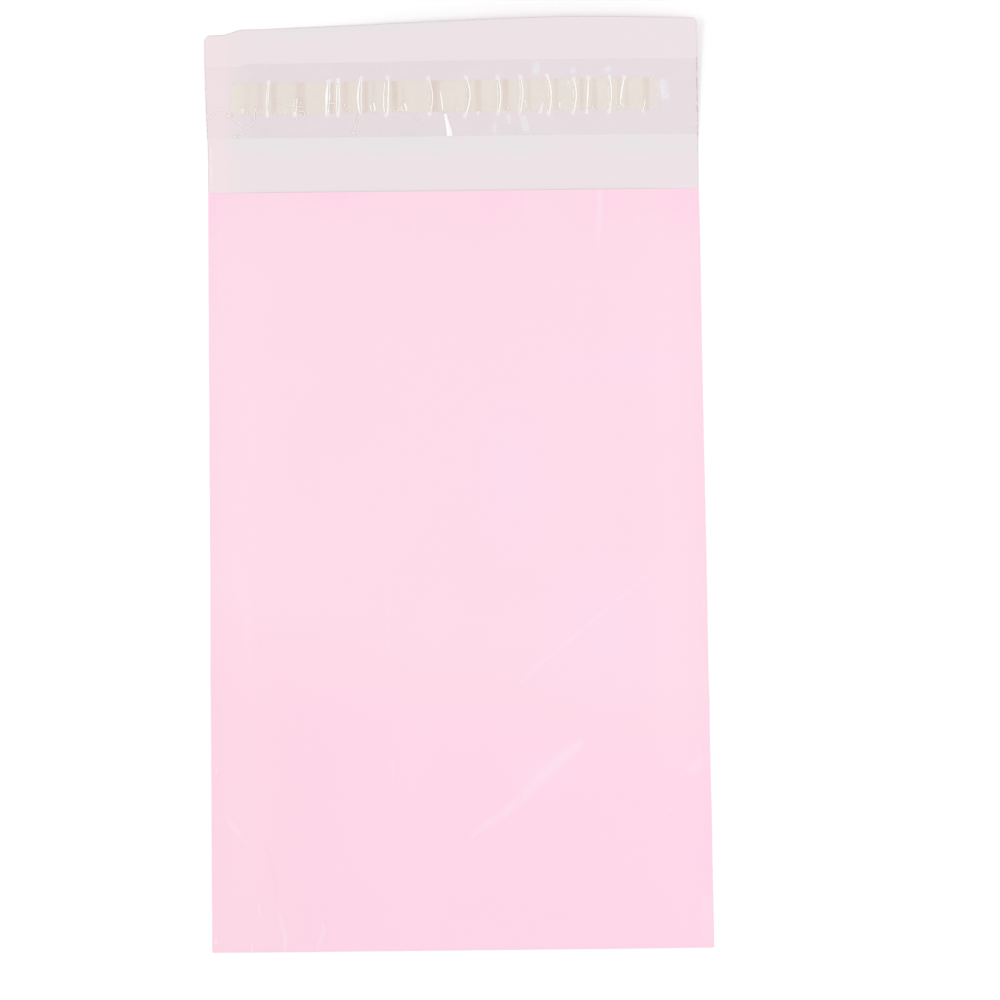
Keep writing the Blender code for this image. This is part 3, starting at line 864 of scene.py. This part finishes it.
def cut_edges(sizes, colours):
    """The melted bead along both cut sides, and the fine curl of the lip's and the mouth's cut edges."""
    t = geometry_tree("cut edges")
    b = place_fields(t, sizes)
    bead = t.size("Bead radius", sizes.bead_radius)
    line = t.term("GeometryNodeMeshToCurve", None, {"Mesh": t.lines})
    x, y, _ = t.split(t.term("GeometryNodeInputPosition"))
    mouth_gap = t.size("Mouth gap", sizes.mouth_gap)
    on_lip_edge = t.attribute("lip_edge")
    on_mouth = t.attribute("mouth")
    lip_y = b.mouth_y + lip_length_at(t, b, x) - 0.03 * MM
    y = y + (lip_y - y) * on_lip_edge
    y = y + fold_slant(b, x, t.sum("MINIMUM", y, b.mouth_y))
    open_here = t.eased((b.half - 3 * MM - abs(x)) / SIDE_EASE)
    z = lip_rise(t, b, x, y) + b.film * 0.7 + on_mouth * (b.film * 0.6 + mouth_gap * open_here)
    line = moved_to(t, line, t.vector(x + side_sway(t, b, x, y), y, z))
    on_lip = t.eased((y - b.mouth_y) / (1 * MM))
    torn = t.attribute("torn")
    uneven = t.noise(x * 50, y * 700, 12.0, detail=3.0)
    radius = bead * ((1 - on_lip * 0.35) * (1 + uneven) + torn * (0.6 + uneven * 1.6) + on_lip_edge * 0.45)
    radius = radius * (1 - on_mouth * (0.45 + uneven * 0.5))
    line = t.stored(line, "on_lip", t.sum("MAXIMUM", on_lip, on_mouth))
    # Darker along the liner's ends: melted film, with painted shadow in it
    line = t.stored(line, "scorch", torn * t.clamped(0.9 + uneven))
    t.end(tube(t, line, radius), melted_edge(colours))

    half = sizes.bag_width / 2
    fold = fold_line(sizes)
    mouth = mouth_line(sizes)
    top = mouth + sizes.lip_length
    lines = []
    for edge_x, lip_share in ((-half, 0.905), (half, 0.975)):
        reach_y = mouth + sizes.lip_length * lip_share
        points = [(edge_x, fold + 0.15 * MM), (edge_x, (fold + reach_y) / 2), (edge_x, reach_y)]
        lines.append(edge_line(points, 0.7 * MM))
    points = [(-half + 0.9 * MM, top), (0.0, top), (half - 0.6 * MM, top)]
    lines.append(edge_line(points, 0.8 * MM, lip_edge=1.0))
    for side, low, high, torn in ((1, 16.6, 40.4, 1.0), (-1, 16.8, 26.5, 0.5)):
        edge_x = side * (half + 0.04 * MM)
        points = [(edge_x, mouth + y * MM) for y in (low, (low + high) / 2, high)]
        lines.append(edge_line(points, 0.35 * MM, torn=torn))
    mouth_y = mouth + 0.02 * MM
    points = [(-half + 1 * MM, mouth_y), (0.0, mouth_y), (half - 1 * MM, mouth_y)]
    lines.append(edge_line(points, 0.8 * MM, mouth=1.0))
    return grow("cut_edges", line_mesh("edge lines", lines), t)


def glue_strings(sizes, colours):
    """Fine strings of glue that were drawn out over the liner, and drops, which are lines of one point."""
    t = geometry_tree("glue strings")
    b = place_fields(t, sizes)
    glue_thickness = t.size("Glue thickness", sizes.glue_thickness)
    edges = glue_edges(t, b, sizes)
    line = t.term("GeometryNodeMeshToCurve", None, {"Mesh": t.lines})
    x, y, _ = t.split(t.term("GeometryNodeInputPosition"))
    stray_x = t.noise(x * 700, y * 700, 13.0) * STRING_STRAY
    stray_y = t.noise(x * 700, y * 700, 23.0) * STRING_STRAY
    z = liner_height(t, b, edges, x, y, glue_thickness) + STRING_HEIGHT
    line = moved_to(t, line, t.vector(x + stray_x, y + stray_y, z))
    radius = t.attribute("strand") * (1 + t.noise(x * 900, y * 900, 33.0))
    height = liner_height(t, b, edges, x, y, glue_thickness) + DROP_HEIGHT
    points = moved_to(t, t.lines, t.vector(x, y, height))
    is_drop = t.attribute("strand") < 1e-6
    drops = balls(t, points, DROP_RADIUS, 8, (0.5, 1.15), (1.0, 1.3, 0.4), Selection=is_drop)
    joined = t.node("GeometryNodeJoinGeometry")
    for part in (tube(t, line, radius), drops):
        t.tree.links.new(part.socket, joined.inputs[0])
    t.end(Term(t, joined.outputs[0]), drawn_glue(colours))
    mouth = mouth_line(sizes)
    lines = []
    for points, strand in STRINGS:
        lines.append((curve_through(placed(points, mouth), 0.25 * MM), {"strand": strand * MM}))
    lines += [(placed([drop], mouth), {"strand": 0.0}) for drop in DROPS]
    return grow("glue_strings", line_mesh("string lines", lines), t)


def melt_specks(sizes, colours):
    """Small beads of melted liner, scattered along its two ends."""
    t = geometry_tree("melt specks")
    b = place_fields(t, sizes)
    x, y, _ = t.split(t.term("GeometryNodeInputPosition"))
    sockets = {"Min": (-SPECK_STRAY,) * 3, "Max": (SPECK_STRAY,) * 3, "Seed": 5}
    stray = t.term("FunctionNodeRandomValue", {"data_type": "FLOAT_VECTOR"}, sockets)
    stray_x, stray_y, _ = t.split(stray)
    z = lip_rise(t, b, x, y) + b.film + SPECK_HEIGHT
    place = t.vector(x + side_sway(t, b, x, y) + stray_x, y + stray_y, z)
    beads = balls(t, moved_to(t, t.lines, place), SPECK_RADIUS, 6, (0.35, 1.25), (0.8, 1.3, 0.7))
    t.end(beads, drawn_glue(colours, "melted beads"))
    half = sizes.bag_width / 2
    mouth = mouth_line(sizes)
    lines = []
    for side, low, high in ((-1, 17.2, 24.0), (-1, 29.0, 38.0), (1, 17.2, 39.6)):
        points = [(side * half, mouth + low * MM), (side * half, mouth + high * MM)]
        lines.append((curve_through(points, 0.55 * MM), {}))
    return grow("melt_specks", line_mesh("speck lines", lines), t)


# Whites of what shines, as linear colours: on creases, edges and strings, and on the liner
CREASE_SHINE = (1.0, 0.86, 0.93, 1.0)
EDGE_SHINE = (1.0, 0.93, 0.94, 1.0)
BEAD_SHINE = (1.0, 0.93, 0.95, 1.0)
STRING_SHINE = (1.0, 0.93, 0.92, 1.0)
BLOOM_WHITE = (0.98, 0.94, 0.96, 1.0)
SWELL_WHITE = (0.83, 0.92, 0.94, 1.0)
GLINT_WHITE = (1.0, 0.993, 0.98, 1.0)


def new_finish(name, **constants):
    """A material whose shader has these constant values, with its tree and its shader."""
    finish = bpy.data.materials.new(name)
    finish.use_nodes = True
    tree = Tree(finish.node_tree)
    shader = finish.node_tree.nodes["Principled BSDF"]
    tree.dress(shader, **constants)
    return finish, tree, shader


def object_place(t):
    return t.split(t.term("ShaderNodeTexCoord", output="Object"))


def solid(tint):
    return (*tint, 1.0)


def film_grain(t, place, drawn, across, along):
    """The film's fine grain, and its bump: grain, dimples and the lines along which the film was drawn."""
    x, y, z = place
    grain = t.noise(x * 1500, y * 1500, z * 1500, detail=3.0)
    dimples = t.noise(x * across, y * along, z * across, detail=2.0)
    return grain, t.bump(grain * 0.12 + dimples + drawn * 0.3, 0.02 * MM)


def stroke(t, place, points, reaches):
    """1 along a line of flat points, easing to 0 at its reach. The reach runs from one value to another."""
    strongest = 0.0
    last = len(points) - 1
    widths = [reaches[0] + (reaches[1] - reaches[0]) * k / last for k in range(last + 1)]
    widths[0] *= 0.4
    widths[-1] *= 0.4
    for k in range(last):
        start, end = (Vector((*point, 0.0)) for point in points[k : k + 2])
        span = end - start
        off = t.term("ShaderNodeVectorMath", {"operation": "SUBTRACT"}, {0: place, 1: start})
        sockets = {0: off, 1: span / span.length_squared}
        share = t.clamped(t.term("ShaderNodeVectorMath", {"operation": "DOT_PRODUCT"}, sockets, "Value"))
        foot = t.term("ShaderNodeVectorMath", {"operation": "SCALE"}, {0: span, "Scale": share})
        away = t.term("ShaderNodeVectorMath", {"operation": "DISTANCE"}, {0: off, 1: foot}, "Value")
        near = 1 - t.eased(away / (widths[k] + share * (widths[k + 1] - widths[k])))
        strongest = t.sum("MAXIMUM", strongest, near)
    return strongest


def fading_zone(t, x, y, zone, fold_y):
    """1 in the middle of an oval zone, easing to 0 at its rim."""
    middle_x, middle_y, half_wide, half_high = (value * MM for value in zone)
    off_x = (x - middle_x) / half_wide
    off_y = (y - (fold_y + middle_y)) / half_high
    return 1 - t.eased((off_x * off_x + off_y * off_y) ** 0.5)


def pink_side(sizes, colours):
    """The bag's outer face: satin pink film, deeper over the fused sides and towards the fold."""
    finish, t, shader = new_finish("pink film", IOR=1.5)
    x, y, z = place = object_place(t)
    half = sizes.bag_width / 2
    fold_y = fold_line(sizes)
    flat = t.vector(x, y, 0.0)
    # Painted highlights along the creases, and painted shade in the deeper ones
    shine, painted_crease_shade = 0.0, 0.0
    for points, *reaches, _, strength in CREASES:
        line = stroke(t, flat, placed(points, fold_y), [reach * MM for reach in reaches])
        if strength > 0:
            shine = t.sum("MAXIMUM", shine, line * strength)
        else:
            painted_crease_shade = t.sum("MAXIMUM", painted_crease_shade, line * -strength)
    on_front = t.eased((z - 0.15 * MM) / (0.1 * MM))
    clouds = t.noise(x * 26, y * 18, z * 26, detail=4.0)
    patches = t.noise(x * 55, y * 40, 9.0, detail=2.0)
    drawn = t.noise(x * 8, y * 420, 2.0, detail=2.0)
    seam_x = half - sizes.weld_width
    band = t.clamped((abs(x) - seam_x) / (0.6 * MM)) * t.clamped(0.5 + patches)
    # A lighter line just inside each weld seam: a painted highlight on its small ridge
    seam = (1 - t.clamped(abs(abs(x) - (seam_x - 0.2 * MM)) / (0.5 * MM))) * t.clamped(0.3 + patches * 1.6)
    to_fold = t.eased((y * -1 - x * 0.22 - 44 * MM) / (44 * MM))
    to_left = t.eased((x * -1 - 15 * MM) / (50 * MM)) * to_fold
    at_mouth = (1 - t.eased((mouth_line(sizes) - y) / (16 * MM))) * t.clamped(0.35 + patches * 1.4)
    side_line = t.clamped((abs(x) - half + 0.7 * MM) / (0.5 * MM))
    deep = band * 0.2 + to_fold * 0.42 + to_left * 0.2 + at_mouth * 0.6 + side_line * 0.2
    # The creases' painted shade deepens the tone here
    deep = t.clamped(deep + clouds * 0.2 + patches * 0.06 + drawn * 0.07 + painted_crease_shade * on_front * 0.75)
    broken = t.clamped(0.75 + t.noise(x * 160, y * 160, 15.0, detail=2.0) * 1.1)
    shine = shine * broken * on_front
    light = 0.0
    for zone in LIGHT_ZONES:
        light = light + fading_zone(t, x + patches * (6 * MM), y + clouds * (8 * MM), zone, fold_y)
    light = t.clamped(light) * on_front
    tone = t.mixed(solid(colours.outside), solid(colours.outside_deep), deep)
    tone = t.mixed(tone, solid(colours.outside_left), to_left * 0.6)
    tone = t.mixed(tone, solid(colours.outside_light), t.clamped(light * 0.62 + seam * 0.35))
    tone = t.mixed(tone, CREASE_SHINE, t.clamped(shine) * 0.6)
    grain, normal = film_grain(t, place, drawn, 260, 180)
    roughness = 0.36 + clouds * 0.1 + grain * 0.05 - shine * 0.1
    t.dress(shader, Base_Color=tone, Roughness=roughness, Normal=normal)
    return finish


def pale_side(sizes, colours):
    """The bag's inner face: off-white film, cloudy, warm at the lip's left side and grey below the liner."""
    finish, t, shader = new_finish("off-white film", IOR=1.5)
    x, y, _ = place = object_place(t)
    half = sizes.bag_width / 2
    up = y - mouth_line(sizes)
    clouds = t.noise(x * 30, y * 60, 3.0, detail=3.0)
    blotches = t.noise(x * 70, y * 120, 5.0, detail=1.0)
    warm = 1 - t.eased((x + half - 3 * MM) / (7 * MM) + blotches * 0.4)
    gleam_points = [(-half + 0.9 * MM, 1.5 * MM), (-half + 0.7 * MM, 14 * MM)]
    edge_gleam = stroke(t, t.vector(x, up, 0.0), gleam_points, (1.3 * MM, 0.9 * MM))
    edge_gleam = edge_gleam * t.clamped(0.5 + blotches * 2)
    patchy = t.noise(x * 42, y * 12, 16.0, detail=1.0)
    below_liner = t.eased((up - 10.8 * MM) / (1.6 * MM) + patchy * 3.2 + blotches * 0.8)
    below_liner = below_liner * t.clamped(0.75 + patchy) * (1 - t.eased((up - 17 * MM) / (4 * MM)))
    beside_peak = 1 - t.eased((abs(x + 30 * MM) - 22 * MM) / (14 * MM))
    at_lip_edge = t.eased((up - 47 * MM) / (3 * MM) + clouds) * beside_peak
    grey = t.clamped(below_liner * (1 - warm * 0.5) + at_lip_edge * 0.9 + blotches * 0.85 - 0.16)
    drawn = t.noise(x * 9, y * 380, 4.0, detail=2.0)
    tone = t.mixed(solid(colours.inside), solid(colours.inside_grey), grey)
    tone = t.mixed(tone, solid(colours.inside_warm), t.clamped(warm * 0.9))
    tone = t.mixed(tone, EDGE_SHINE, edge_gleam * 0.5)
    grain, normal = film_grain(t, place, drawn, 240, 200)
    t.dress(shader, Base_Color=tone, Roughness=0.4 + clouds * 0.08 + grain * 0.05, Normal=normal)
    return finish


def cream_glue(colours):
    """Hot-melt glue: milky cream, darker where the liner has lifted."""
    finish, t, shader = new_finish("cream glue", IOR=1.48)
    x, y, _ = object_place(t)
    bare = t.painted("bare")
    smear = t.noise(x * 260, y * 50, 5.0, detail=3.0)
    lifted = t.clamped(bare * 0.72 + smear * 0.25 + 0.03)
    tone = t.mixed(solid(colours.glue), solid(colours.glue_bare), lifted)
    tone = t.mixed(tone, solid(colours.inside), t.painted("thin") * 0.5)
    grain = t.bump(t.noise(x * 900, y * 500, 6.0, detail=3.0), 0.04 * MM)
    t.dress(shader, Base_Color=tone, Roughness=0.42 + smear * 0.15 + bare * 0.15, Normal=grain)
    return finish


def clear_film(colours):
    """The liner: clear glossy film, with painted highlights on its puckers and swells."""
    finish, t, shader = new_finish("clear film", IOR=1.7)
    x, y, _ = object_place(t)
    glint = t.painted("glint")
    swell = t.painted("swell")
    broken = 1 - swell * t.clamped(0.3 + t.noise(x * 560, y * 300, 17.0, detail=2.0) * 2)
    bloom = t.painted("bloom")
    # Painted highlights: white at the puckers' ends, paler over the swells
    pale = t.mixed(BLOOM_WHITE, SWELL_WHITE, swell)
    tone = t.mixed(solid(colours.liner), pale, t.clamped(bloom * 3))
    tone = t.mixed(tone, GLINT_WHITE, t.clamped(glint * 1.5))
    clouds = t.noise(x * 60, y * 90, 6.0, detail=3.0)
    at_left = 1 - t.eased((x + LINER_HIGH.x - 3 * MM) / (16 * MM))
    plain = 0.063 + clouds * 0.03 - x * 0.15 - at_left * 0.045
    alpha = t.clamped(plain + glint * 0.85 + bloom * broken * 0.28)
    t.dress(shader, Base_Color=tone, Alpha=alpha, Roughness=0.16 + clouds * 0.05)
    return finish


def melted_edge(colours):
    """Film that has melted and set again along a cut."""
    finish, t, shader = new_finish("melted edge", IOR=1.5)
    x, y, _ = object_place(t)
    spots = t.noise(x * 300, y * 420, 7.0, detail=2.0)
    # On the lip and at the mouth the beads turn grey: the cut edge's tone, with painted shadow in it
    tone = t.mixed(solid(colours.outside), solid(colours.cut_edge), t.clamped(t.painted("on_lip")))
    tone = t.mixed(tone, BEAD_SHINE, t.clamped(spots * 0.8))
    # The liner's darker ends: melted film, with painted shadow in it
    tone = t.mixed(tone, solid(colours.end_dark_tone), t.clamped(t.painted("scorch")))
    t.dress(shader, Base_Color=tone, Roughness=0.3 + spots * 0.2)
    return finish


def drawn_glue(colours, name="drawn glue"):
    """Glue or film drawn out while it was hot: pale and shiny."""
    finish, t, shader = new_finish(name, IOR=1.48)
    x, y, _ = object_place(t)
    spots = t.noise(x * 500, y * 500, 9.0, detail=2.0)
    tone = t.mixed(STRING_SHINE, solid(colours.glue), t.clamped(spots))
    t.dress(shader, Base_Color=tone, Roughness=0.25 + spots * 0.2)
    return finish


# The photo's camera, fitted to the bag's outline: where it stands, its right and its up, and its lens in mm
CAMERA_PLACE = (0.00016, -0.06455, 0.76336)
CAMERA_RIGHT = (0.99978, -0.01401, 0.01545)
CAMERA_UP = (0.0128, 0.99703, 0.07598)
CAMERA_LENS = 90.83

# The softboxes face one spot of the bag, and the floor is a round plate just under it, in metres
LAMP_PLACES = {"right": (0.62, -0.02, 0.64), "left": (-0.62, -0.02, 0.64)}
LAMP_WIDTHS = {"right": 0.15, "left": 0.13}
LAMP_LENGTH = 0.54
LAMP_TARGET = (0.0, -0.01, 0.0)
FLOOR_RADIUS = 3.0
FLOOR_SIDES = 96
FLOOR_Z = -0.05 * MM


def add_camera():
    data = bpy.data.cameras.new("photo view")
    data.lens = CAMERA_LENS
    data.sensor_width = 36.0
    data.clip_start = 0.01
    camera = bpy.data.objects.new("photo view", data)
    right = Vector(CAMERA_RIGHT).normalized()
    up = (Vector(CAMERA_UP) - right * right.dot(Vector(CAMERA_UP))).normalized()
    turn = Matrix((right, up, right.cross(up))).transposed().to_4x4()
    camera.matrix_world = Matrix.Translation(CAMERA_PLACE) @ turn
    bpy.context.scene.collection.objects.link(camera)
    bpy.context.scene.camera = camera


def add_softbox(side, energy):
    """A soft lamp on the bag's left or right, which faces the bag."""
    data = bpy.data.lights.new(f"{side} softbox", "AREA")
    data.shape = "RECTANGLE"
    data.size = LAMP_WIDTHS[side]
    data.size_y = LAMP_LENGTH
    data.energy = energy
    lamp = bpy.data.objects.new(data.name, data)
    lamp.visible_camera = False
    place = Vector(LAMP_PLACES[side])
    towards = (Vector(LAMP_TARGET) - place).normalized()
    ahead = Vector((0.0, 1.0, 0.0))
    across = ahead.cross(-towards).normalized()
    upright = (-towards).cross(across)
    lamp.matrix_world = Matrix.Translation(place) @ Matrix((across, upright, -towards)).transposed().to_4x4()
    bpy.context.scene.collection.objects.link(lamp)


def seen_by_eye(t):
    """1 for the rays that show the stage: from the camera, off gloss and through clear film."""
    path = t.node("ShaderNodeLightPath")
    rays = [Term(t, path.outputs[f"Is {kind} Ray"]) for kind in ("Camera", "Glossy", "Transmission")]
    return t.sum("MAXIMUM", t.sum("MAXIMUM", rays[0], rays[1]), rays[2])


def add_room(strength):
    """Even light from all sides, white wherever it is seen."""
    world = bpy.data.worlds.new("white room")
    world.use_nodes = True
    t = Tree(world.node_tree)
    background = world.node_tree.nodes["Background"]
    t.dress(background, Color=(1.0, 1.0, 1.0, 1.0), Strength=strength + (1 - strength) * seen_by_eye(t))
    bpy.context.scene.world = world


def add_floor():
    """A wide round white floor just under the bag."""
    turns = [2 * math.pi * k / FLOOR_SIDES for k in range(FLOOR_SIDES)]
    rim = [(FLOOR_RADIUS * math.cos(turn), FLOOR_RADIUS * math.sin(turn), FLOOR_Z) for turn in turns]
    mesh = bpy.data.meshes.new("floor")
    mesh.from_pydata(rim, [], [list(range(FLOOR_SIDES))])
    constants = {"Roughness": 0.9, "Specular_IOR_Level": 0.0, "Emission_Strength": 0.08}
    finish, t, shader = new_finish("white floor", Base_Color=(0.96, 0.96, 0.96, 1.0), **constants)
    seen = seen_by_eye(t)
    t.dress(shader, Emission_Color=t.vector(seen, seen, seen))
    mesh.materials.append(finish)
    floor = bpy.data.objects.new("floor", mesh)
    bpy.context.scene.collection.objects.link(floor)


class MailerOperator:
    """What the bag's operators share: the scene's settings, and how a made piece joins the frame."""

    bl_options = {"REGISTER", "UNDO"}

    def settings(self, context):
        return context.scene.mailer_sizes, context.scene.mailer_colours

    def join(self, piece, slot, *nodes):
        piece.visible_shadow = slot != "clear_film"
        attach(piece, "root")
        if nodes:
            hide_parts(*nodes)
        return {"FINISHED"}


class MAILER_OT_folded_film(MailerOperator, bpy.types.Operator):
    """Makes the folded web of film: lip, back panel, fold and front panel"""

    bl_idname = "mailer.folded_film"
    bl_label = "Folded Film"

    def execute(self, context):
        return self.join(folded_film(*self.settings(context)), "pink_film", "mailer_film")


class MAILER_OT_cut_edges(MailerOperator, bpy.types.Operator):
    """Makes the melted beads along the bag's cut sides and the curl of the lip's edge"""

    bl_idname = "mailer.cut_edges"
    bl_label = "Cut Edges"

    def execute(self, context):
        return self.join(cut_edges(*self.settings(context)), "pink_film")


class MAILER_OT_glue_band(MailerOperator, bpy.types.Operator):
    """Makes the strip of glue on the lip"""

    bl_idname = "mailer.glue_band"
    bl_label = "Glue Band"

    def execute(self, context):
        return self.join(glue_band(*self.settings(context)), "cream_glue", "adhesive_strip")


class MAILER_OT_puckered_liner(MailerOperator, bpy.types.Operator):
    """Makes the clear liner with its puckers"""

    bl_idname = "mailer.puckered_liner"
    bl_label = "Puckered Liner"

    def execute(self, context):
        return self.join(puckered_liner(*self.settings(context)), "clear_film", "release_liner")


class MAILER_OT_glue_strings(MailerOperator, bpy.types.Operator):
    """Makes the fine strings of glue on the liner"""

    bl_idname = "mailer.glue_strings"
    bl_label = "Glue Strings"

    def execute(self, context):
        return self.join(glue_strings(*self.settings(context)), "cream_glue")


class MAILER_OT_melt_specks(MailerOperator, bpy.types.Operator):
    """Makes the beads of melted film along the liner's ends"""

    bl_idname = "mailer.melt_specks"
    bl_label = "Melt Specks"

    def execute(self, context):
        return self.join(melt_specks(*self.settings(context)), "clear_film")


class MAILER_OT_stage(MailerOperator, bpy.types.Operator):
    """Sets up the floor, the room, the two softboxes and the camera"""

    bl_idname = "mailer.stage"
    bl_label = "Stage"

    def execute(self, context):
        stage = context.scene.mailer_stage
        add_floor()
        add_room(stage.room_light)
        add_softbox("right", stage.right_lamp)
        add_softbox("left", stage.left_lamp)
        add_camera()
        context.scene.view_settings.view_transform = "Standard"
        return {"FINISHED"}


PIECE_OPERATORS = (
    MAILER_OT_folded_film,
    MAILER_OT_cut_edges,
    MAILER_OT_glue_band,
    MAILER_OT_puckered_liner,
    MAILER_OT_glue_strings,
    MAILER_OT_melt_specks,
    MAILER_OT_stage,
)


class MAILER_PT_panel(bpy.types.Panel):
    """Lists the bag's operators over its sizes, colours and light"""

    bl_idname = "MAILER_PT_panel"
    bl_label = "Poly Mailer Bag"
    bl_space_type = "VIEW_3D"
    bl_region_type = "UI"
    bl_category = "Mailer"

    def draw(self, context):
        for operator in PIECE_OPERATORS:
            self.layout.operator(operator.bl_idname)
        for group in (context.scene.mailer_sizes, context.scene.mailer_colours, context.scene.mailer_stage):
            column = self.layout.column(align=True)
            for name in group.__annotations__:
                column.prop(group, name)


CLASSES = (MailerSizes, MailerColours, MailerStage, *PIECE_OPERATORS, MAILER_PT_panel)


def register():
    for cls in CLASSES:
        bpy.utils.register_class(cls)
    bpy.types.Scene.mailer_sizes = bpy.props.PointerProperty(type=MailerSizes)
    bpy.types.Scene.mailer_colours = bpy.props.PointerProperty(type=MailerColours)
    bpy.types.Scene.mailer_stage = bpy.props.PointerProperty(type=MailerStage)


def unregister():
    del bpy.types.Scene.mailer_stage
    del bpy.types.Scene.mailer_colours
    del bpy.types.Scene.mailer_sizes
    for cls in reversed(CLASSES):
        bpy.utils.unregister_class(cls)


def main():
    register()
    for operator in PIECE_OPERATORS:
        group, name = operator.bl_idname.split(".")
        getattr(getattr(bpy.ops, group), name)()


if __name__ == "__main__":
    main()
